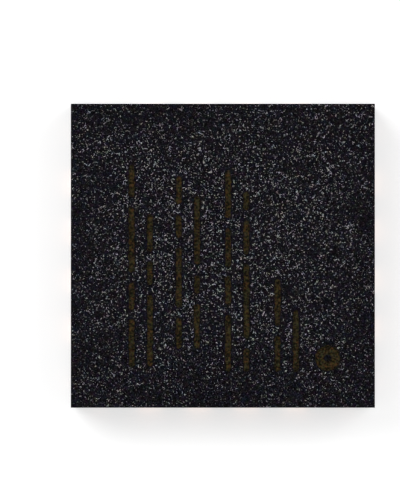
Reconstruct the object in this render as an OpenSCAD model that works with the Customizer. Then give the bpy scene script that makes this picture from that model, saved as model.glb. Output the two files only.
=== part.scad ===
// Quad flat no-lead chip package: sixteen leads round a square moulded body,
// with the die pad, the die and its bond wires inside.
// The solder plane is z = 0, the origin is under the middle of the body,
// and pin 1 is the lead of the +X side that lies nearest the -Y side.
// All sizes are in millimetres.

/* [Package body] */
// Side of the square moulded body
body_w = 4.00; // [3.6:0.05:5]
// Height of the package above the solder plane
body_h = 0.90; // [0.75:0.05:1.2]
// How far the leads and the die pad stand below the moulded body
standoff = 0.02; // [0.01:0.005:0.05]

/* [Pin 1 mark] */
// Outer diameter of the ring that the laser leaves in the top face
mark_d = 0.32; // [0.25:0.01:0.4]
// Diameter of the spot in the middle of the ring that the laser leaves alone
mark_spot_d = 0.095; // [0.05:0.005:0.12]
// Depth of the ring
mark_depth = 0.02; // [0.01:0.005:0.04]
// Distance of the mark's middle from the +X side of the body
mark_from_x_side = 0.62; // [0.4:0.01:0.8]
// Distance of the mark's middle from the -Y side of the body
mark_from_y_side = 0.65; // [0.4:0.01:0.8]

/* [Lead frame] */
// Thickness of the copper lead frame with its plating
frame_t = 0.20; // [0.16:0.01:0.25]
// Thickness left where the frame is half etched from below
etched_t = 0.10; // [0.06:0.01:0.12]

/* [Leads] */
// Leads on each side of the body
leads_per_side = 4; // [2:1:4]
// Distance between the middles of neighbouring leads
lead_pitch = 0.65; // [0.55:0.05:0.75]
// Width of the lead's solder face
lead_w = 0.31; // [0.22:0.01:0.4]
// Length of the lead's solder face from the side of the body to its round end
lead_l = 0.49; // [0.4:0.01:0.65]
// How far the half-etched lip reaches round the lead
lead_lip = 0.05; // [0.02:0.01:0.08]
// Distance of the lip's start from the side of the body
lip_setback = 0.10; // [0.06:0.01:0.14]

/* [Die pad] */
// Side of the pad's square solder face
pad_w = 2.10; // [1.8:0.05:2.4]
// Corner radius of the pad's solder face
pad_r = 0.10; // [0.04:0.01:0.2]
// Leg of the chamfer at the pad's pin 1 corner
pad_chamfer = 0.30; // [0.15:0.05:0.5]
// How far the half-etched lip reaches round the pad
pad_lip = 0.10; // [0.04:0.01:0.15]
// Width of the tie bars that run from the pad's corners
tie_w = 0.16; // [0.1:0.01:0.2]
// Distance of a tie bar's fork from the two sides that its arms run out to
tie_inset = 0.34; // [0.26:0.01:0.45]

/* [Die] */
// Side of the square silicon die
die_w = 1.50; // [1.2:0.05:1.7]
// Thickness of the die
die_t = 0.25; // [0.15:0.01:0.3]
// Thickness of the adhesive under the die
attach_t = 0.025; // [0.01:0.005:0.05]
// How far the adhesive spreads past the die
attach_margin = 0.04; // [0.02:0.01:0.08]

/* [Bond wires] */
// Diameter of the wire
wire_d = 0.025; // [0.018:0.001:0.038]
// Height of the wire's loop above the die, to the middle of the wire
loop_h = 0.16; // [0.1:0.01:0.2]
// Radius of the bend at the top of the loop
bend_r = 0.06; // [0.04:0.01:0.08]
// Diameter of the ball on the die
ball_d = 0.06; // [0.045:0.005:0.08]
// Height of the squashed ball
ball_h = 0.014; // [0.01:0.002:0.02]
// Distance of the ball from the edge of the die
ball_inset = 0.08; // [0.06:0.01:0.12]
// Distance between neighbouring balls
ball_pitch = 0.30; // [0.2:0.02:0.4]
// Length of the stitch that lies on the lead
stitch_l = 0.07; // [0.05:0.01:0.1]
// Width of the stitch at its flat end
stitch_w = 0.05; // [0.04:0.005:0.07]
// Thickness of the stitch at its flat end
stitch_t = 0.008; // [0.005:0.001:0.012]

/* [Hidden] */
$fn = 64;
// Facets round a wire, with flats above, below and to the sides
wire_sides = 8;
// Rings along the bend and along the fall of a wire's loop
bend_steps = 3;
fall_steps = 4;
// How far a cutting shape runs past the face that it cuts
overrun = 0.1;

lead_count = 4 * leads_per_side;
side_x = body_w / 2;
// Middle of the lead's round end
lead_end_x = side_x - lead_l + lead_w / 2;
// Underside of everything that is half etched
etched_z = frame_t - etched_t;
die_z = frame_t + attach_t;
die_top = die_z + die_t;
mark_x = side_x - mark_from_x_side;
mark_y = mark_from_y_side - side_x;
fork_x = side_x - tie_inset;

// Leads and wires are counted from pin 1, anticlockwise seen from above.
function pin_label(i) = str(i < 10 ? "0" : "", i);
function lead_name(i) = str("lead_", pin_label(i));
function wire_name(i) = str("bond_wire_", pin_label(i));
function pin_side(i) = floor((i - 1) / leads_per_side);
function pin_slot(i) = (i - 1) % leads_per_side;
// Place of a pin along its side, counted from the side's middle
function pin_offset(i, pitch) = (pin_slot(i) - (leads_per_side - 1) / 2) * pitch;

// Turns what is drawn for the +X side to the side that pin i is on.
module on_side_of(i) {
  rotate(90 * pin_side(i)) children();
}

// A tongue that runs in from x = outer_x and ends in a half circle round x = end_x.
module tongue(outer_x, end_x, w, z0, z1) {
  translate([end_x, -w / 2, z0]) cube([outer_x - end_x, w, z1 - z0]);
  translate([end_x, 0, z0]) rotate_extrude(angle = 180, start = 90) square([w / 2, z1 - z0]);
}

// A square plate with round corners, and a chamfer at the pin 1 corner.
module pad_plate(w, r, chamfer, z0, z1) {
  h = z1 - z0;
  flat = w - 2 * r;
  difference() {
    translate([0, 0, z0]) {
      translate([-flat / 2, -w / 2, 0]) cube([flat, w, h]);
      translate([-w / 2, -flat / 2, 0]) cube([w, flat, h]);
      for (turn = [0 : 90 : 270])
        rotate(turn) translate([flat / 2, flat / 2, 0]) rotate_extrude(angle = 90) square([r, h]);
    }
    translate([w / 2 - chamfer, -w / 2, z0 - overrun]) rotate(-45)
      cube([2 * chamfer, 2 * chamfer, h + 2 * overrun]);
  }
}

// One lead: the full-thickness foot and the half-etched lip round its inner end.
// The mould's pocket is the same shape, run on past the side of the body.
module lead(i, past_side = 0) {
  color("silver")
    on_side_of(i) translate([0, pin_offset(i, lead_pitch), 0]) {
      tongue(side_x + past_side, lead_end_x, lead_w, 0, frame_t);
      tongue(side_x - lip_setback, lead_end_x, lead_w + 2 * lead_lip, etched_z, frame_t);
    }
}

// One tie bar of the +X +Y corner: it forks, and its arms run out to both sides.
module tie_bar(past_side) {
  arm_l = tie_inset + past_side;
  translate([0, 0, etched_z]) {
    rotate(45) translate([pad_w / 2, -tie_w / 2, 0])
      cube([fork_x * sqrt(2) - pad_w / 2, tie_w, etched_t]);
    translate([fork_x, fork_x, 0]) {
      translate([-tie_w / 2, -tie_w / 2, 0]) cube([arm_l + tie_w / 2, tie_w, etched_t]);
      translate([-tie_w / 2, -tie_w / 2, 0]) cube([tie_w, arm_l + tie_w / 2, etched_t]);
    }
  }
}

// The exposed pad that carries the die, with its half-etched lip and tie bars.
module die_pad(past_side = 0) {
  // The lip is as wide along the chamfer as along the sides.
  lip_chamfer = pad_chamfer + pad_lip * (2 - sqrt(2));
  color("silver") {
    pad_plate(pad_w, pad_r, pad_chamfer, 0, frame_t);
    pad_plate(pad_w + 2 * pad_lip, pad_r + pad_lip, lip_chamfer, etched_z, frame_t);
    for (turn = [0 : 90 : 270]) rotate(turn) tie_bar(past_side);
  }
}

module die_attach() {
  w = die_w + 2 * attach_margin;
  color("lightgray") translate([-w / 2, -w / 2, frame_t]) cube([w, w, attach_t]);
}

module silicon_die() {
  color("slategray") translate([-die_w / 2, -die_w / 2, die_z]) cube([die_w, die_w, die_t]);
}

// Half height of a wire ring, from its middle to its lower flat
function to_flat(r) = r * cos(180 / wire_sides);

// Middle line of a wire as [distance along the span, height]: up from the ball,
// round the bend, and down in a parabola to where the stitch starts.
function wire_line(span) =
  let (
    top = die_top + loop_h,
    fall = top - frame_t - to_flat(wire_d / 2),
    fall_l = span - stitch_l - bend_r
  )
  concat(
    [[0, die_top + ball_h / 2]],
    [for (k = [0 : bend_steps])
      let (a = 90 * k / bend_steps)
      [bend_r * (1 - cos(a)), top - bend_r * (1 - sin(a))]],
    [for (k = [1 : fall_steps])
      let (t = k / fall_steps)
      [bend_r + fall_l * t, top - fall * t * t]],
    [[span, frame_t + stitch_t / 2]]
  );

// Direction of the middle line at point k: upright at the ball, level along the stitch.
function wire_heading(line, k) =
  let (last = len(line) - 1)
  k == 0 ? [0, 1] :
  k >= last - 1 ? [1, 0] :
  let (d = line[k + 1] - line[k - 1]) d / norm(d);

// Points of one ring of the wire, round in the loop and flat at the stitch's end.
function wire_ring(line, k, from, along) =
  let (
    flat_end = k == len(line) - 1,
    rx = flat_end ? stitch_w / 2 : wire_d / 2,
    rz = flat_end ? stitch_t / 2 / cos(180 / wire_sides) : wire_d / 2,
    heading = wire_heading(line, k),
    across = [-along.y, along.x]
  )
  [for (j = [0 : wire_sides - 1])
    let (
      a = 360 * (j + 0.5) / wire_sides,
      s = line[k][0] - rz * sin(a) * heading[1],
      z = line[k][1] + rz * sin(a) * heading[0],
      p = from + along * s + across * (rx * cos(a))
    )
    [p.x, p.y, z]];

// The wire as one closed shape, ring by ring.
module wire_sweep(from, to) {
  span = norm(to - from);
  along = (to - from) / span;
  line = wire_line(span);
  n = wire_sides;
  last = len(line) - 1;
  points = [for (k = [0 : last]) each wire_ring(line, k, from, along)];
  start_cap = [for (j = [0 : n - 1]) n - 1 - j];
  end_cap = [for (j = [0 : n - 1]) last * n + j];
  walls = [
    for (k = [0 : last - 1], j = [0 : n - 1])
      let (a = k * n + j, b = k * n + (j + 1) % n)
      each [[a, b, b + n], [a, b + n, a + n]]
  ];
  polyhedron(points, concat([start_cap, end_cap], walls));
}

// One bond wire with its ball, from the die to the top of lead i.
module bond_wire(i) {
  ball = [die_w / 2 - ball_inset, pin_offset(i, ball_pitch)];
  stitch_end = [lead_end_x, pin_offset(i, lead_pitch)];
  color("gold")
    on_side_of(i) {
      translate([ball.x, ball.y, die_top]) cylinder(d = ball_d, h = ball_h);
      wire_sweep(ball, stitch_end);
    }
}

// The ring that the laser leaves beside pin 1.
module pin_1_mark() {
  translate([mark_x, mark_y, body_h - mark_depth])
    difference() {
      cylinder(d = mark_d, h = mark_depth + overrun);
      translate([0, 0, -overrun]) cylinder(d = mark_spot_d, h = mark_depth + 3 * overrun);
    }
}

// The epoxy body, moulded round everything else and sawn square.
module mould_body() {
  color([0.10, 0.10, 0.12])
    difference() {
      translate([-side_x, -side_x, standoff]) cube([body_w, body_w, body_h - standoff]);
      die_pad(overrun);
      die_attach();
      silicon_die();
      for (i = [1 : lead_count]) lead(i, overrun);
      for (i = [1 : lead_count]) bond_wire(i);
      pin_1_mark();
    }
}

mould_body();
die_pad();
die_attach();
silicon_die();
for (i = [1 : lead_count]) lead(i);
for (i = [1 : lead_count]) bond_wire(i);
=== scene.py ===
"""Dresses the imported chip: its grained mould, its plated lead frame and a small studio."""

import math

import bpy
from bpy.props import FloatProperty, FloatVectorProperty, IntProperty, PointerProperty
from mathutils import Matrix, Vector
from mathutils.kdtree import KDTree


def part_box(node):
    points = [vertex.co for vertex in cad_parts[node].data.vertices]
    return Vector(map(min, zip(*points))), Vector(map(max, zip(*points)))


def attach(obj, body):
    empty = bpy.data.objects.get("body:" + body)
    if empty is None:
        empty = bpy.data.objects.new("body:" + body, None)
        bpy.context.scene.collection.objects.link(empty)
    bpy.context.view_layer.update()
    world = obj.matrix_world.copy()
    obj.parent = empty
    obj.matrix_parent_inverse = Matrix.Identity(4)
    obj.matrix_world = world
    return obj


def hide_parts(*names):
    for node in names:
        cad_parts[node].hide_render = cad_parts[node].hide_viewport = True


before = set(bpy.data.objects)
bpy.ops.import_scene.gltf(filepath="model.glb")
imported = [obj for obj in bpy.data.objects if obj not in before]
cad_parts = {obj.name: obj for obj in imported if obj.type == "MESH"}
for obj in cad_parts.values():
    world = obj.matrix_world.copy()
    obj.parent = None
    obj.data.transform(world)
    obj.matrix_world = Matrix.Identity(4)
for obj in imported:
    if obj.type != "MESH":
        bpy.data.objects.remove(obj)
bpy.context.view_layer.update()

bl_info = {
    "name": "Flat no-lead chip",
    "version": (1, 0, 0),
    "blender": (4, 5, 0),
    "location": "View3D > Sidebar > Chip",
    "description": "Models and finishes a flat no-lead chip round its packed solids",
    "category": "Object",
}

# The pieces are modelled with a millimetre as the unit, and brought to the scene's metres last.
MM = 0.001

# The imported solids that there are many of.
LEADS = sorted(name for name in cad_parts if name.startswith("lead_"))
WIRES = sorted(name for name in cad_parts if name.startswith("bond_wire_"))

# Where the body ends, with its sawn side at +X and its top face, in millimetres.
BODY_LOW, BODY_HIGH = (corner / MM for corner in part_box("mould_body"))
SIDE = BODY_HIGH.x
TOP = BODY_HIGH.z

# The photograph's frame in pixels, and where the chip's top face lies in it.
FRAME_PX = Vector((400, 500))
FACE_MIDDLE_PX = Vector((222.85, 255.7))
FACE_SIDE_PX = 304.1

# Laser bars on the top face: each row's middle, where its first bar starts, and its bars' lengths,
# in millimetres. The rows run along +Y.
LASER_ROWS = (
    (-1.20, -1.46, (0.62, 0.34, 0.86, 0.42)),
    (-0.96, -1.46, (0.94, 0.30, 0.48)),
    (-0.58, -1.22, (0.40, 0.78, 0.30, 0.36)),
    (-0.34, -1.22, (0.58, 0.24, 0.90)),
    (0.07, -1.52, (0.74, 0.36, 0.50, 0.62)),
    (0.31, -1.52, (0.30, 0.96, 0.44, 0.24)),
    (0.72, -1.52, (0.46, 0.62)),
    (0.96, -1.52, (0.80,)),
)

# Shallow flats in a lead whose tin carries painted reflections of the lamps: how far in from the sawn side
# each starts and ends, where it lies across the lead, in millimetres, and how bright its painted
# reflection is, from 0 to 1, which also sets how deep and smooth the flat is.
REFLECTION_FLATS = (
    ((0.036, 0.156), (0.012, 0.112), 1.0),
    ((0.052, 0.136), (-0.088, -0.008), 0.6),
    ((0.212, 0.324), (0.028, 0.112), 0.3),
)

# The radius of the flats' corners, in millimetres.
FLAT_CORNER = 0.02

# The point attribute that holds how near a laser mark is, from 0, out of its reach, to 1, at its edge.
# The spot in the ring's middle gets enough to dim all its flecks and too little to scorch it, and so does
# a margin round the spot, which is a share of its radius.
SOOT = "soot"
SPOT_SOOT = 0.65
SPOT_MARGIN = 0.05

# How near a face or edge lies to the plane that it belongs to, and how far a cutter goes past such a
# plane, in millimetres.
SLIVER = 0.001

# How near points lie that are merged, and how deep a packed laser mark is at most, in millimetres.
MERGE = 0.0001
DEEPEST_MARK = 0.05

# Faces that meet at less than the first angle become one, and edges sharper than the second stay sharp.
FLAT_ANGLE = math.radians(0.5)
SHARP_ANGLE = math.radians(38)

# A face is level where its normal's Z, up or down, is over the first of these, and upright where it is
# under the second.
LEVEL = 0.9
UPRIGHT = 0.5

# The floor's side and how far under the chip it lies, in millimetres, the share of white that it gives
# off where it is seen as background, and the world's light on everything else, where 1 is white.
FLOOR_SIDE = 2000
FLOOR_GAP = 0.002
FLOOR_GLOW = 0.45
WORLD_LIGHT = 0.35

# Lamps: each one's name, its place and its side, in millimetres, and its power, in watts.
LAMPS = (
    ("key_lamp", (-60, 50, 90), 60, 0.045),
    ("fill_lamp", (70, 30, 80), 60, 0.025),
    ("front_lamp", (0, -90, 60), 50, 0.02),
)


def length(name, description, default_mm):
    return FloatProperty(
        name=name, description=description, default=default_mm * MM, unit="LENGTH", precision=7)


def colour(name, description, default):
    return FloatVectorProperty(
        name=name, description=description, default=default, size=3, min=0, max=1, subtype="COLOR")


class ChipSizes(bpy.types.PropertyGroup):
    """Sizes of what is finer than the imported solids."""

    grain_depth: length("Grain depth", "Height of the eroded grain in the top face", 0.008)
    grain_width: length("Grain width", "Distance between the bumps of the grain", 0.05)
    grain_faces: IntProperty(
        name="Grain faces", description="Faces along each side of the grained top", default=240, min=20)
    fleck_width: length("Fleck width", "Distance between the longer flecks of the grain", 0.042)
    fleck_line: length("Fleck line", "Half the thickness of a longer fleck", 0.0021)
    bar_width: length("Bar width", "Width of a laser bar", 0.066)
    bar_gap: length("Bar gap", "Gap between the bars of a row", 0.14)
    bar_depth: length("Bar depth", "Depth of a laser bar below the top face", 0.014)
    burn_wobble: length("Burn wobble", "How far the sides of a laser mark wander", 0.030)
    burn_patch: length("Burn patch", "Distance between the patches of colour in a laser mark", 0.048)
    soot_reach: length("Soot reach", "How far the flecks are dimmed beside a laser mark", 0.032)
    # The depth of the flat whose painted lamp reflection is brightest; dimmer ones are shallower.
    reflection_flat_depth: length("Contact depth", "Depth of the hardest pressed flat in a lead", 0.003)
    solder_edge: length("Solder edge", "Radius of the plated edges round a solder face", 0.012)
    plating: length("Plating", "Thickness of the tin that shows under the sawn copper", 0.012)
    camera_height: length("Camera height", "Height of the camera above the top face", 60.0)


class ChipColours(bpy.types.PropertyGroup):
    """Colours of the finishes."""

    mould: colour("Mould", "Moulding compound between the flecks", (0.0048, 0.0043, 0.0064))
    # The fleck colours are of pale filler grains and painted glints in one; the cool one also colours the
    # smooth floor's dust specks.
    fleck_cool: colour("Cool fleck", "Cooler flecks in the grain", (0.740, 0.740, 0.830))
    fleck_warm: colour("Warm fleck", "Warmer flecks in the grain", (0.780, 0.765, 0.740))
    burn_olive: colour("Olive burn", "Compound that the laser has burnt", (0.050, 0.0430, 0.0205))
    burn_amber: colour("Amber burn", "Compound that the laser has burnt more", (0.072, 0.0430, 0.0158))
    sawn: colour("Sawn mould", "Moulding compound on the sawn sides", (0.016, 0.016, 0.017))
    filler: colour("Filler", "Glassy filler grains that the saw has cut", (0.10, 0.10, 0.10))
    tin: colour("Tin", "Matte tin plating", (0.86, 0.85, 0.80))
    copper: colour("Copper", "Copper where the saw has cut the leads", (0.66, 0.33, 0.20))
    silicon: colour("Silicon", "The die", (0.10, 0.11, 0.13))
    adhesive: colour("Adhesive", "The layer under the die", (0.55, 0.55, 0.54))
    gold: colour("Gold", "Bond wires", (0.83, 0.58, 0.20))
    floor: colour("Floor", "The floor under the chip", (0.90, 0.90, 0.90))


def rgba(base, share=1.0):
    """A share of a colour, as a shader takes it, with no part over 1."""
    return (*(min(1.0, share * part) for part in base), 1.0)


def add(tree, kind, inputs=None, **settings):
    """Adds a node. A socket among the inputs is linked, and any other value is set."""
    node = tree.nodes.new(kind)
    for name, value in settings.items():
        setattr(node, name, value)
    for name, value in (inputs or {}).items():
        if isinstance(value, bpy.types.NodeSocket):
            tree.links.new(value, node.inputs[name])
        else:
            node.inputs[name].default_value = value
    return node


def place_on_piece(tree):
    return add(tree, "ShaderNodeTexCoord").outputs["Object"]


def axes(tree, where):
    return add(tree, "ShaderNodeSeparateXYZ", {0: where}).outputs


def stretched(tree, where, scale):
    return add(tree, "ShaderNodeMapping", {"Vector": where, "Scale": scale}).outputs["Vector"]


def noise(tree, where, width_mm, detail=0.0, distortion=0.0, roughness=0.5, output="Fac"):
    """A noise whose bumps are about this wide."""
    inputs = {
        "Vector": where, "Scale": 1 / (width_mm * MM), "Detail": detail,
        "Distortion": distortion, "Roughness": roughness,
    }
    return add(tree, "ShaderNodeTexNoise", inputs).outputs[output]


def cells(tree, where, width_mm):
    """How far a point lies from the nearest of many scattered ones, as a share of their distance."""
    inputs = {"Vector": where, "Scale": 1 / (width_mm * MM)}
    return add(tree, "ShaderNodeTexVoronoi", inputs).outputs["Distance"]


def calc(tree, operation, *values):
    return add(tree, "ShaderNodeMath", dict(enumerate(values)), operation=operation).outputs[0]


def vector_calc(tree, operation, *values):
    return add(tree, "ShaderNodeVectorMath", dict(enumerate(values)), operation=operation).outputs[0]


def remap(tree, value, low, high, to_low=0.0, to_high=1.0):
    """Brings a value from one range to another, with a soft start and end, and holds it there."""
    inputs = {"Value": value, "From Min": low, "From Max": high, "To Min": to_low, "To Max": to_high}
    return add(tree, "ShaderNodeMapRange", inputs, interpolation_type="SMOOTHSTEP").outputs["Result"]


def blend(tree, factor, first, second):
    """Mixes two colours. The node has sockets for other kinds of value too, so these go by number."""
    return add(tree, "ShaderNodeMix", {0: factor, 6: first, 7: second}, data_type="RGBA").outputs[2]


def mottled(tree, where, width_mm, strength, base):
    """A colour whose red, green and blue each wander a little, by a noise of their own."""
    drift = noise(tree, where, width_mm, output="Color")
    steady = (1 - strength / 2,) * 3
    gain = vector_calc(tree, "MULTIPLY_ADD", drift, (strength,) * 3, steady)
    return vector_calc(tree, "MULTIPLY", base, gain)


def relief(tree, height, depth_mm):
    inputs = {"Height": height, "Strength": 1.0, "Distance": depth_mm * MM}
    return add(tree, "ShaderNodeBump", inputs).outputs[0]


def reach_from_middle(tree, where):
    """How far a point lies from the chip's middle, along X or along Y, whichever is more."""
    along = axes(tree, where)
    return calc(tree, "MAXIMUM", calc(tree, "ABSOLUTE", along["X"]), calc(tree, "ABSOLUTE", along["Y"]))


def finish(name):
    """A new material, with its node tree and the sockets of its shader."""
    material = bpy.data.materials.new(name)
    material.use_nodes = True
    tree = material.node_tree
    return material, tree, tree.nodes["Principled BSDF"].inputs


def feed(tree, sockets, **values):
    """Links or sets the shader's sockets, named in lower case with underscores."""
    for name, value in values.items():
        socket = sockets[name.replace("_", " ").title().replace("Ior", "IOR")]
        if isinstance(value, bpy.types.NodeSocket):
            tree.links.new(value, socket)
        else:
            socket.default_value = value


def squiggles(tree, where, width_mm, thickness_mm):
    """Short crooked strokes, thicker where they are brighter: the broken contour lines of a noise."""
    crook = 0.6
    contour = 0.5
    step = 0.1 * width_mm
    field = noise(tree, where, width_mm, distortion=crook)

    # The distance to the contour line is the field's height over it, divided by how steep the field is.
    slopes = []
    for aside in ((step * MM, 0, 0), (0, step * MM, 0)):
        moved = vector_calc(tree, "ADD", where, aside)
        rise = calc(tree, "SUBTRACT", noise(tree, moved, width_mm, distortion=crook), field)
        slopes.append(calc(tree, "DIVIDE", rise, step))
    squares = [calc(tree, "MULTIPLY", slope, slope) for slope in slopes]
    steepness = calc(tree, "SQRT", calc(tree, "ADD", *squares))
    off_contour = calc(tree, "ABSOLUTE", calc(tree, "SUBTRACT", field, contour))
    off_line = calc(tree, "DIVIDE", off_contour, steepness)

    # These two noises differ in width from the field and from each other, so that they don't follow it.
    broken = remap(tree, noise(tree, where, 0.95 * width_mm), 0.475, 0.56)
    bright = remap(tree, noise(tree, where, 0.72 * width_mm), 0.34, 0.82, 0.02, 1.0)
    thickness = calc(tree, "MULTIPLY", calc(tree, "ADD", bright, 0.55), thickness_mm)
    line = remap(tree, off_line, 0.0, thickness, 1.0, 0.0)
    contrast = calc(tree, "POWER", bright, 4.0)
    return calc(tree, "MULTIPLY", calc(tree, "MULTIPLY", line, broken), contrast)


def burnt_compound(tree, where, width, colours):
    """What the laser leaves: a colour from olive to amber with dark pits, and the mottle it follows."""
    mottle = noise(tree, where, 0.55 * width, detail=1.0, roughness=0.6)
    scorch = remap(tree, noise(tree, where, width, detail=1.0), 0.38, 0.62)
    hue = blend(tree, scorch, rgba(colours.burn_olive), rgba(colours.burn_amber))
    pits = rgba(colours.burn_olive, 0.1)
    colour_there = blend(tree, remap(tree, mottle, 0.30, 0.78), pits, hue)
    return mottled(tree, where, 0.6 * width, 0.8, colour_there), mottle


def grained_mould(sizes, colours):
    """Eroded compound: light flecks, pale filler grains and painted glints in one, on dark grit, dimmed
    and scorched beside the laser marks, with painted light and shade across the face.
    """
    material, tree, sockets = finish("grained_mould")
    where = place_on_piece(tree)
    width, line = sizes.fleck_width / MM, sizes.fleck_line / MM
    reach = reach_from_middle(tree, where)
    soot = add(tree, "ShaderNodeAttribute", attribute_name=SOOT).outputs["Fac"]

    # Longer flecks with finer ones between them, pale filler grains and painted glints in one. They crowd
    # and clump and are dimmer beside laser marks; they are brighter in the middle and towards +Y by
    # painted light, and dimmer at the rim by painted shade.
    coarse = squiggles(tree, where, width, line)
    fine = squiggles(tree, where, 0.66 * width, 1.05 * line)
    crowded = remap(tree, noise(tree, where, 9.4 * width, detail=1.0), 0.30, 0.70, 0.40, 1.20)
    clumped = remap(tree, noise(tree, where, 2.6 * width), 0.30, 0.70, 0.70, 1.40)
    # Painted light: the flecks are brightened towards the middle of the face.
    painted_centre_light = remap(tree, reach, 0.30 * SIDE * MM, 0.95 * SIDE * MM, 8.4, 2.3)
    # Painted shade: the flecks are dimmed in a band along the rim.
    painted_rim_shade = remap(tree, reach, (SIDE - 0.35) * MM, SIDE * MM, 1.0, 0.75)
    # Painted light: the flecks are brightened towards +Y.
    painted_light_towards_plus_y = remap(tree, axes(tree, where)["Y"], -SIDE * MM, SIDE * MM, 0.88, 1.4)
    clean = remap(tree, soot, 0.10, 0.60, 1.0, 0.0)
    fleck_and_glint = calc(tree, "MAXIMUM", coarse, calc(tree, "MULTIPLY", fine, 0.8))
    for gain in (crowded, clumped, painted_centre_light, painted_rim_shade, painted_light_towards_plus_y, clean):
        fleck_and_glint = calc(tree, "MULTIPLY", fleck_and_glint, gain)
    fleck_and_glint = calc(tree, "MINIMUM", fleck_and_glint, 1.0)
    warmth = remap(tree, noise(tree, where, 1.4 * width), 0.42, 0.58)
    tint = blend(tree, warmth, rgba(colours.fleck_cool), rgba(colours.fleck_warm))

    # The grit between the flecks, from its hollows to its ridges, with painted shade in the hollows and
    # painted light on the ridges, on the same noise as its bumps.
    grit = noise(tree, where, 0.39 * width, detail=1.0)
    painted_hollow_shade, painted_ridge_light = rgba(colours.mould, 0.1), rgba(colours.mould, 3.3)
    ground = blend(tree, remap(tree, grit, 0.35, 0.75), painted_hollow_shade, painted_ridge_light)
    grain = blend(
        tree, fleck_and_glint,
        mottled(tree, where, 1.3 * width, 1.1, ground),
        mottled(tree, where, 1.3 * width, 0.35, tint))

    # The scorched rim beside a laser mark, wider and narrower by patches.
    patchy = calc(tree, "POWER", soot, remap(tree, noise(tree, where, width), 0.35, 0.65, 0.5, 2.5))
    scorched = remap(tree, patchy, 0.82, 0.94)
    burnt = burnt_compound(tree, where, sizes.burn_patch / MM, colours)[0]
    feed(
        tree, sockets,
        base_color=blend(tree, scorched, grain, burnt),
        roughness=remap(tree, fleck_and_glint, 0.0, 1.0, 0.60, 0.42),
        normal=relief(tree, calc(tree, "ADD", fleck_and_glint, calc(tree, "MULTIPLY", grit, 0.8)), 0.003),
        specular_ior_level=0.017,
    )
    return material


def laser_burn(sizes, colours):
    """Compound in the floor of a laser mark."""
    material, tree, sockets = finish("laser_burn")
    colour_there, mottle = burnt_compound(tree, place_on_piece(tree), sizes.burn_patch / MM, colours)
    feed(
        tree, sockets,
        base_color=colour_there,
        roughness=remap(tree, mottle, 0.3, 0.7, 0.75, 0.60),
        normal=relief(tree, mottle, 0.003),
        specular_ior_level=0.025,
    )
    return material


def sawn_mould(colours):
    """Compound that the saw has cut, with scratches along the cut and filler grains."""
    material, tree, sockets = finish("sawn_mould")
    where = place_on_piece(tree)
    scratches = noise(tree, stretched(tree, where, (0.03, 0.03, 1.0)), 0.014, detail=2.0)
    grains = remap(tree, cells(tree, where, 0.045), 0.16, 0.24, 1.0, 0.0)
    shown = calc(tree, "MULTIPLY", grains, remap(tree, noise(tree, where, 0.07), 0.45, 0.60))
    shade = remap(tree, scratches, 0.3, 0.7, 0.0, 0.35)
    ground = blend(tree, shade, rgba(colours.sawn), rgba(colours.filler))
    feed(
        tree, sockets,
        base_color=blend(tree, calc(tree, "MULTIPLY", shown, 0.6), ground, rgba(colours.filler)),
        roughness=remap(tree, shown, 0.0, 1.0, 0.62, 0.40),
        normal=relief(tree, scratches, 0.003),
        specular_ior_level=0.35,
    )
    return material


def smooth_mould(colours):
    """Compound as the mould's flat floor leaves it, with a few pale specks."""
    material, tree, sockets = finish("smooth_mould")
    where = place_on_piece(tree)
    wave = noise(tree, where, 0.35, detail=2.0)
    dust = remap(tree, cells(tree, where, 0.16), 0.035, 0.055, 1.0, 0.0)
    specks = calc(tree, "MULTIPLY", dust, 0.4)
    feed(
        tree, sockets,
        base_color=blend(tree, specks, rgba(colours.mould), rgba(colours.fleck_cool)),
        roughness=remap(tree, wave, 0.3, 0.7, 0.16, 0.26),
        normal=relief(tree, wave, 0.002),
        specular_ior_level=0.12,
    )
    return material


def matte_tin(colours):
    """Plated tin, whose crystals catch the light one by one."""
    material, tree, sockets = finish("matte_tin")
    where = place_on_piece(tree)
    grains = noise(tree, where, 0.022, distortion=1.0)
    cloudy = noise(tree, where, 0.12, detail=1.0)
    shade = remap(tree, calc(tree, "ADD", grains, calc(tree, "MULTIPLY", cloudy, 0.2)), 0.48, 0.72)
    feed(
        tree, sockets,
        base_color=blend(tree, shade, rgba(colours.tin, 0.10), rgba(colours.tin)),
        metallic=1.0,
        roughness=remap(tree, grains, 0.3, 0.7, 0.52, 0.36),
        normal=relief(tree, grains, 0.006),
    )
    return material


def painted_reflection_tin(colours, shine):
    """Tin in a flat, carrying a painted reflection of a lamp: brighter and more even the higher its shine.
    """
    material, tree, sockets = finish("painted_reflection_tin")
    rub = noise(tree, place_on_piece(tree), 0.026, detail=1.0)
    dull, bright = rgba(colours.tin, 0.25 + 0.6 * shine), rgba(colours.tin, 1 + 0.4 * shine)
    polish = 0.12 * shine
    feed(
        tree, sockets,
        base_color=blend(tree, remap(tree, rub, 0.35, 0.60), dull, bright),
        metallic=1.0,
        roughness=remap(tree, rub, 0.3, 0.7, 0.46 - polish, 0.34 - polish),
        normal=relief(tree, rub, 0.002),
    )
    return material


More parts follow.
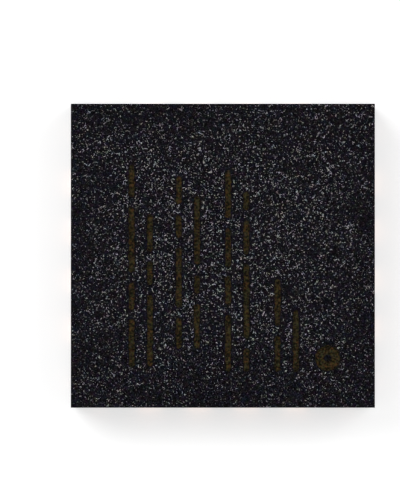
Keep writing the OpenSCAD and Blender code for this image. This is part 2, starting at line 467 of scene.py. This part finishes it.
def sawn_copper(sizes, colours):
    """Copper that the saw has cut, with a little smeared tin and the plating along its lower edge."""
    material, tree, sockets = finish("sawn_copper")
    where = place_on_piece(tree)
    scratches = noise(tree, stretched(tree, where, (0.05, 0.05, 1.0)), 0.012, detail=2.0)
    smear = remap(tree, noise(tree, where, 0.10, detail=1.0), 0.50, 0.66)
    plating = remap(tree, axes(tree, where)["Z"], 0.9 * sizes.plating, 1.1 * sizes.plating, 1.0, 0.0)
    tinned = calc(tree, "MAXIMUM", calc(tree, "MULTIPLY", smear, 0.4), plating)
    shade = remap(tree, scratches, 0.3, 0.7)
    metal = blend(tree, shade, rgba(colours.copper, 0.55), rgba(colours.copper))
    feed(
        tree, sockets,
        base_color=blend(tree, tinned, metal, rgba(colours.tin)),
        metallic=1.0,
        roughness=remap(tree, scratches, 0.3, 0.7, 0.48, 0.34),
        normal=relief(tree, scratches, 0.003),
    )
    return material


def sealed_finish(name, base, dark_share, width_mm, metallic, roughness):
    """A finish for a piece inside the mould, with a little grain in its colour and roughness."""
    material, tree, sockets = finish(name)
    grain = noise(tree, place_on_piece(tree), width_mm, detail=2.0)
    feed(
        tree, sockets,
        base_color=blend(tree, remap(tree, grain, 0.3, 0.7), rgba(base, dark_share), rgba(base)),
        metallic=metallic,
        roughness=remap(tree, grain, 0.3, 0.7, roughness, roughness + 0.1),
    )
    return material


def only(*objects):
    """Selects these objects alone, and makes the first one active."""
    bpy.ops.object.select_all(action="DESELECT")
    for item in objects:
        item.select_set(True)
    bpy.context.view_layer.objects.active = objects[0]


def to_size(piece, factor):
    """Scales a piece about the origin, with the scale in its mesh."""
    only(piece)
    piece.scale = (factor, factor, factor)
    bpy.ops.object.transform_apply(location=False, rotation=False, scale=True)


def copy_of_node(node, name):
    """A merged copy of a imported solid's mesh, in millimetres."""
    piece = bpy.data.objects.new(name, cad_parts[node].data.copy())
    bpy.context.scene.collection.objects.link(piece)
    piece.data.materials.clear()
    to_size(piece, 1 / MM)
    bpy.ops.mesh.customdata_custom_splitnormals_clear()
    bpy.ops.object.mode_set(mode="EDIT")
    bpy.ops.mesh.select_all(action="SELECT")
    bpy.ops.mesh.remove_doubles(threshold=MERGE)
    bpy.ops.mesh.dissolve_limited(angle_limit=FLAT_ANGLE)
    bpy.ops.object.mode_set(mode="OBJECT")
    return piece


def subtract(piece, cutter):
    """Cuts a piece with another object, whose materials the cut faces take, and deletes that object."""
    cut = piece.modifiers.new("Cut", "BOOLEAN")
    cut.operation = "DIFFERENCE"
    cut.solver = "EXACT"
    cut.material_mode = "TRANSFER"
    cut.object = cutter
    only(piece)
    faces_before = len(piece.data.polygons)
    bpy.ops.object.modifier_apply(modifier=cut.name)
    if 2 * len(piece.data.polygons) < faces_before:
        raise RuntimeError(f"A cut took {piece.name} away")
    mesh = cutter.data
    bpy.data.objects.remove(cutter)
    bpy.data.meshes.remove(mesh)


def hand_over(piece, node):
    """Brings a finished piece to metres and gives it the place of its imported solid."""
    to_size(piece, MM)
    bpy.ops.object.shade_smooth_by_angle(angle=SHARP_ANGLE)
    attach(piece, "root")
    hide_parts(node)


def reach_of(face):
    """How far a face's middle lies from the chip's, along X or along Y, whichever is more."""
    return max(abs(face.center.x), abs(face.center.y))


def roughen(piece, basis, width, depth, direction):
    """Moves a piece's points to and fro along an axis, by a cloudy noise."""
    texture = bpy.data.textures.new("rough", "CLOUDS")
    texture.noise_basis = basis
    texture.noise_scale = width
    texture.noise_depth = 1
    bumps = piece.modifiers.new("Rough", "DISPLACE")
    bumps.texture = texture
    bumps.texture_coords = "LOCAL"
    bumps.direction = direction
    bumps.mid_level = 0.5
    bumps.strength = depth
    only(piece)
    bpy.ops.object.modifier_apply(modifier=bumps.name)
    bpy.data.textures.remove(texture)


def grain_cap(sizes):
    """What the eroded grain takes off the top: a block over the body with bumps in its underside."""
    depth, width = sizes.grain_depth / MM, sizes.grain_width / MM
    margin = 0.1
    bpy.ops.object.select_all(action="DESELECT")
    bpy.ops.mesh.primitive_grid_add(
        x_subdivisions=sizes.grain_faces, y_subdivisions=sizes.grain_faces,
        size=2 * (SIDE + margin), location=(0, 0, TOP - depth / 2))
    cap = bpy.context.active_object
    bpy.ops.object.transform_apply(location=True, rotation=False, scale=False)

    # Soft bumps make up most of the depth, and pebbled ones the rest.
    roughen(cap, "BLENDER_ORIGINAL", width, 0.6 * depth, "Z")
    roughen(cap, "VORONOI_F1", 1.3 * width, 0.4 * depth, "Z")
    bpy.ops.object.mode_set(mode="EDIT")
    bpy.ops.mesh.select_mode(type="EDGE")
    bpy.ops.mesh.select_all(action="DESELECT")
    bpy.ops.mesh.select_non_manifold()
    bpy.ops.mesh.extrude_edges_move(TRANSFORM_OT_translate={"value": (0, 0, margin)})
    bpy.ops.transform.resize(value=(1, 1, 0))
    bpy.ops.mesh.edge_face_add()
    bpy.ops.mesh.select_all(action="SELECT")
    bpy.ops.mesh.normals_make_consistent(inside=False)
    bpy.ops.object.mode_set(mode="OBJECT")
    return cap


def edit_edges(piece, chosen):
    """Goes into edit mode with just those edges selected whose two ends pass a test."""
    only(piece)
    bpy.ops.object.mode_set(mode="EDIT")
    bpy.ops.mesh.select_mode(type="EDGE")
    bpy.ops.mesh.select_all(action="DESELECT")
    bpy.ops.object.mode_set(mode="OBJECT")
    for edge in piece.data.edges:
        edge.select = chosen(*(piece.data.vertices[i].co for i in edge.vertices))
    bpy.ops.object.mode_set(mode="EDIT")


def bevel_edges(piece, chosen, radius, segments):
    edit_edges(piece, chosen)
    bpy.ops.mesh.bevel(offset=radius, segments=segments, affect="EDGES")
    bpy.ops.object.mode_set(mode="OBJECT")


def add_box(low, high):
    """A new box between two corners, in millimetres, with its place in its mesh."""
    low, high = Vector(low), Vector(high)
    bpy.ops.object.select_all(action="DESELECT")
    bpy.ops.mesh.primitive_cube_add(size=1, location=(low + high) / 2, scale=high - low)
    bpy.ops.object.transform_apply(location=True, rotation=False, scale=True)
    return bpy.context.active_object


def joined(pieces):
    only(*pieces)
    bpy.ops.object.join()
    return pieces[0]


def make_ragged(cutter, sizes):
    """Lets the outline of a laser mark wander, with bends wide enough that it never crosses itself."""
    wobble = sizes.burn_wobble / MM
    bend = 1.7 * wobble
    for axis in "XY":
        roughen(cutter, "BLENDER_ORIGINAL", bend, wobble, axis)


def laser_bars(sizes):
    """The bars that the laser burns into the top face, as one cutting object."""
    half, gap, depth = sizes.bar_width / MM / 2, sizes.bar_gap / MM, sizes.bar_depth / MM
    bars = []
    for middle, start, lengths in LASER_ROWS:
        for bar_length in lengths:
            end = start + bar_length
            bar = add_box((middle - half, start, TOP - depth), (middle + half, end, TOP + depth))

            # Round ends, and points along the sides for the wobble to move.
            bevel_edges(bar, lambda a, b: abs(a.z - b.z) > depth, radius=0.95 * half, segments=5)
            edit_edges(bar, lambda a, b: abs(a.y - b.y) > half)
            bpy.ops.mesh.subdivide(number_cuts=int(3 * bar_length / half))
            bpy.ops.object.mode_set(mode="OBJECT")
            bars.append(bar)
            start = end + gap
    bars = joined(bars)
    make_ragged(bars, sizes)
    return bars


def measure_ring(recess):
    """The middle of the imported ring's floor, and the ring's two radii, from the points of its recess."""
    low = Vector(map(min, zip(*recess)))
    high = Vector(map(max, zip(*recess)))
    middle = Vector(((low.x + high.x) / 2, (low.y + high.y) / 2, low.z))
    spans = [(point - middle).xy.length for point in recess]
    return middle, min(spans), max(spans)


def ragged_ring(sizes, middle, inner, outer):
    """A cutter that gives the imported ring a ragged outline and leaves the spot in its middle."""
    clear_of_spot = sizes.burn_wobble / MM / 3
    narrow = (inner + clear_of_spot) / outer
    bpy.ops.object.select_all(action="DESELECT")
    bpy.ops.mesh.primitive_circle_add(vertices=96, radius=outer, location=middle - Vector((0, 0, SLIVER)))
    ring = bpy.context.active_object
    bpy.ops.object.transform_apply(location=True, rotation=False, scale=False)
    bpy.ops.object.mode_set(mode="EDIT")
    bpy.ops.mesh.select_all(action="SELECT")
    bpy.ops.mesh.extrude_edges_move()
    bpy.ops.transform.resize(value=(narrow, narrow, 1), center_override=(middle.x, middle.y, 0))
    bpy.ops.mesh.select_all(action="SELECT")
    bpy.ops.mesh.extrude_region_move(TRANSFORM_OT_translate={"value": (0, 0, 2 * (TOP - middle.z))})
    bpy.ops.mesh.select_all(action="SELECT")
    bpy.ops.mesh.normals_make_consistent(inside=False)
    bpy.ops.object.mode_set(mode="OBJECT")
    make_ragged(ring, sizes)
    return ring


def lay_soot(body, burnt, reach, spot, spot_radius):
    """Writes on each point how near the closest burnt face is, for the grain to read."""
    mesh = body.data
    marked = {i for face in mesh.polygons if face.material_index == burnt for i in face.vertices}
    near = KDTree(len(marked))
    for i in marked:
        near.insert(mesh.vertices[i].co, i)
    near.balance()
    amounts = []
    for vertex in mesh.vertices:
        in_spot = (vertex.co - spot).xy.length < (1 + SPOT_MARGIN) * spot_radius
        amounts.append(SPOT_SOOT if in_spot else max(0.0, 1 - near.find(vertex.co)[2] / reach))
    mesh.attributes.new(SOOT, "FLOAT", "POINT").data.foreach_set("value", amounts)


class CHIP_OT_mould_body(bpy.types.Operator):
    """Model the moulded body: grained and laser marked on top, sawn on its sides"""

    bl_idname = "chip.mould_body"
    bl_label = "Mould body"

    def execute(self, context):
        sizes, colours = context.scene.chip_sizes, context.scene.chip_colours
        grained, burnt = grained_mould(sizes, colours), laser_burn(sizes, colours)
        sawn, smooth = sawn_mould(colours), smooth_mould(colours)
        finishes = [sawn, smooth, grained, burnt]
        body = copy_of_node("mould_body", "chip_body")
        for material in finishes:
            body.data.materials.append(material)

        # The underside is smooth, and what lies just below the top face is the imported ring.
        recess = []
        for face in body.data.polygons:
            if face.normal.z < -LEVEL and face.center.z < BODY_LOW.z + SLIVER:
                face.material_index = finishes.index(smooth)
            elif reach_of(face) < SIDE - SLIVER and SLIVER < TOP - face.center.z < DEEPEST_MARK:
                face.material_index = finishes.index(burnt)
                recess += [body.data.vertices[i].co.copy() for i in face.vertices]
        ring_middle, inner, outer = measure_ring(recess)
        cuts = (
            (ragged_ring(sizes, ring_middle, inner, outer), burnt),
            (laser_bars(sizes), burnt),
            (grain_cap(sizes), grained),
        )
        for cutter, material in cuts:
            cutter.data.materials.append(material)
            subtract(body, cutter)
        lay_soot(body, finishes.index(burnt), sizes.soot_reach / MM, ring_middle, inner)
        hand_over(body, "mould_body")
        return {"FINISHED"}


def plate(piece, tin, copper):
    """Gives a piece its tin, and bare copper where its faces lie in a sawn side."""
    finishes = [tin, copper]
    for material in finishes:
        piece.data.materials.append(material)
    for face in piece.data.polygons:
        is_sawn = reach_of(face) > SIDE - SLIVER and abs(face.normal.z) < UPRIGHT
        face.material_index = finishes.index(copper if is_sawn else tin)


def reflection_flat_cutter(sizes, finishes, hand):
    """A cutter for the flats in a lead on the +X side. With a hand of -1 it is its mirror image."""
    flats = []
    for ((start, end), across, shine), tin in zip(REFLECTION_FLATS, finishes):
        depth = sizes.reflection_flat_depth / MM * shine
        left, right = sorted(hand * y for y in across)
        flat = add_box((SIDE - end, left, -depth), (SIDE - start, right, depth))
        bevel_edges(flat, lambda a, b: abs(a.z - b.z) > depth, radius=FLAT_CORNER, segments=3)
        flat.data.materials.append(tin)
        flats.append(flat)
    return joined(flats)


def cut_reflection_flats(piece, node, hands):
    """Cuts a copy of the flats with painted reflections into a lead, turned to its side and brought to its
    place.
    """
    middle = sum(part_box(node), Vector()) / 2 / MM
    quarter_turns = round(math.atan2(middle.y, middle.x) / (math.pi / 2))
    turn = Matrix.Rotation(quarter_turns * math.pi / 2, 4, "Z")

    # Leads on the two sides across Y have the mirrored flats.
    flats = hands[quarter_turns % 2]
    cutter = flats.copy()
    cutter.data = flats.data.copy()
    bpy.context.scene.collection.objects.link(cutter)
    cutter.matrix_world = turn @ Matrix.Translation((0, (turn.inverted() @ middle).y, 0))
    bpy.context.view_layer.update()
    subtract(piece, cutter)


class CHIP_OT_lead_frame(bpy.types.Operator):
    """Model the leads and the die pad, with tin on them and bare copper where they are sawn"""

    bl_idname = "chip.lead_frame"
    bl_label = "Lead frame"

    def execute(self, context):
        sizes, colours = context.scene.chip_sizes, context.scene.chip_colours
        tin, copper = matte_tin(colours), sawn_copper(sizes, colours)
        # Each flat's tin carries a painted lamp reflection, brighter the higher its shine.
        finishes = [painted_reflection_tin(colours, shine) for _, _, shine in REFLECTION_FLATS]
        hands = [reflection_flat_cutter(sizes, finishes, hand) for hand in (1, -1)]
        edge = sizes.solder_edge / MM
        for node in [*LEADS, "die_pad"]:
            piece = copy_of_node(node, "chip_" + node)
            bevel_edges(piece, lambda a, b: max(a.z, b.z) < SLIVER, radius=edge, segments=3)
            plate(piece, tin, copper)
            if node in LEADS:
                cut_reflection_flats(piece, node, hands)
            hand_over(piece, node)
        for flats in hands:
            bpy.data.objects.remove(flats)
        return {"FINISHED"}


class CHIP_OT_sealed_pieces(bpy.types.Operator):
    """Finish the die, its adhesive and the bond wires, which the mould hides"""

    bl_idname = "chip.sealed_pieces"
    bl_label = "Sealed pieces"

    def execute(self, context):
        colours = context.scene.chip_colours
        gold = sealed_finish(
            "bright_gold", colours.gold,
            dark_share=0.85, width_mm=0.01, metallic=1.0, roughness=0.22)
        silicon = sealed_finish(
            "polished_silicon", colours.silicon,
            dark_share=0.8, width_mm=0.08, metallic=0.0, roughness=0.12)
        adhesive = sealed_finish(
            "silver_adhesive", colours.adhesive,
            dark_share=0.6, width_mm=0.03, metallic=0.3, roughness=0.45)
        finishes = {"silicon_die": silicon, "die_attach": adhesive, **{wire: gold for wire in WIRES}}
        for node, material in finishes.items():
            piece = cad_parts[node]
            piece.data.materials.clear()
            piece.data.materials.append(material)
        return {"FINISHED"}


def background_rays(tree):
    """1 for the rays that see the background: the camera's, and those that metal or glass sends on."""
    path = add(tree, "ShaderNodeLightPath").outputs
    mirrored = calc(tree, "MAXIMUM", path["Is Glossy Ray"], path["Is Transmission Ray"])
    return calc(tree, "MAXIMUM", path["Is Camera Ray"], mirrored)


def pale_floor(colours):
    """A floor that is white to the camera and in reflections, keeps shadows, and is clear from below."""
    material, tree, sockets = finish("pale_floor")
    feed(tree, sockets, base_color=rgba(colours.floor), roughness=0.9, specular_ior_level=0.0)
    shader = tree.nodes["Principled BSDF"].outputs[0]
    strength = calc(tree, "MULTIPLY", background_rays(tree), FLOOR_GLOW)
    glow = add(tree, "ShaderNodeEmission", {"Strength": strength}).outputs[0]
    lit = add(tree, "ShaderNodeAddShader", {0: shader, 1: glow}).outputs[0]
    clear = add(tree, "ShaderNodeBsdfTransparent").outputs[0]
    below = add(tree, "ShaderNodeNewGeometry").outputs["Backfacing"]
    mixed = add(tree, "ShaderNodeMixShader", {0: below, 1: lit, 2: clear}).outputs[0]
    tree.links.new(mixed, tree.nodes["Material Output"].inputs["Surface"])
    return material


def white_world(scene):
    """A world that is white to the camera and in reflections, and a soft light to everything else."""
    world = bpy.data.worlds.new("studio")
    scene.world = world
    world.use_nodes = True
    tree = world.node_tree
    strength = remap(tree, background_rays(tree), 0.0, 1.0, WORLD_LIGHT, 1.0)
    tree.links.new(strength, tree.nodes["Background"].inputs["Strength"])
    tree.nodes["Background"].inputs["Color"].default_value = (1, 1, 1, 1)


def add_lamp(name, place_mm, size_mm, power):
    """A soft square lamp that faces the chip."""
    bpy.ops.object.select_all(action="DESELECT")
    bpy.ops.object.light_add(type="AREA", location=[MM * x for x in place_mm])
    lamp = bpy.context.active_object
    lamp.name = name
    lamp.rotation_euler = (-lamp.location).to_track_quat("-Z", "Y").to_euler()
    lamp.data.shape = "SQUARE"
    lamp.data.size = size_mm * MM
    lamp.data.energy = power
    lamp.visible_camera = False


class CHIP_OT_stage(bpy.types.Operator):
    """Set the floor, the lamps and the camera, which looks straight down on the chip"""

    bl_idname = "chip.stage"
    bl_label = "Stage"

    def execute(self, context):
        scene, sizes, colours = context.scene, context.scene.chip_sizes, context.scene.chip_colours
        bpy.ops.object.select_all(action="DESELECT")
        bpy.ops.mesh.primitive_plane_add(size=FLOOR_SIDE * MM, location=(0, 0, -FLOOR_GAP * MM))
        floor = context.active_object
        floor.name = "floor"
        floor.data.materials.append(pale_floor(colours))
        white_world(scene)
        for lamp in LAMPS:
            add_lamp(*lamp)

        # Millimetres to a pixel at the top face, and the point of that face under the frame's middle.
        # The lens spreads the sensor's width over the frame's longer side.
        mm_per_px = 2 * SIDE / FACE_SIDE_PX
        aside = (FRAME_PX / 2 - FACE_MIDDLE_PX) * mm_per_px
        height = sizes.camera_height
        data = bpy.data.cameras.new("camera")
        camera = bpy.data.objects.new("camera", data)
        scene.collection.objects.link(camera)
        camera.location = (aside.x * MM, -aside.y * MM, TOP * MM + height)
        data.lens = data.sensor_width * height / (FRAME_PX.y * mm_per_px * MM)
        data.clip_start, data.clip_end = 0.01 * height, 100 * height
        scene.camera = camera
        scene.view_settings.view_transform = "Standard"
        return {"FINISHED"}


class CHIP_PT_panel(bpy.types.Panel):
    """Lists the chip's pieces, sizes and colours in the sidebar"""

    bl_idname = "CHIP_PT_panel"
    bl_label = "Chip"
    bl_space_type = "VIEW_3D"
    bl_region_type = "UI"
    bl_category = "Chip"

    def draw(self, context):
        for operator in OPERATORS:
            self.layout.operator(operator.bl_idname)
        for group in (context.scene.chip_sizes, context.scene.chip_colours):
            box = self.layout.box()
            for name in group.__annotations__:
                box.prop(group, name)


OPERATORS = (CHIP_OT_mould_body, CHIP_OT_lead_frame, CHIP_OT_sealed_pieces, CHIP_OT_stage)
CLASSES = (ChipSizes, ChipColours, *OPERATORS, CHIP_PT_panel)


def register():
    for item in CLASSES:
        bpy.utils.register_class(item)
    bpy.types.Scene.chip_sizes = PointerProperty(type=ChipSizes)
    bpy.types.Scene.chip_colours = PointerProperty(type=ChipColours)


def unregister():
    del bpy.types.Scene.chip_colours
    del bpy.types.Scene.chip_sizes
    for item in reversed(CLASSES):
        bpy.utils.unregister_class(item)


def main():
    register()
    bpy.ops.chip.mould_body()
    bpy.ops.chip.lead_frame()
    bpy.ops.chip.sealed_pieces()
    bpy.ops.chip.stage()


if __name__ == "__main__":
    main()
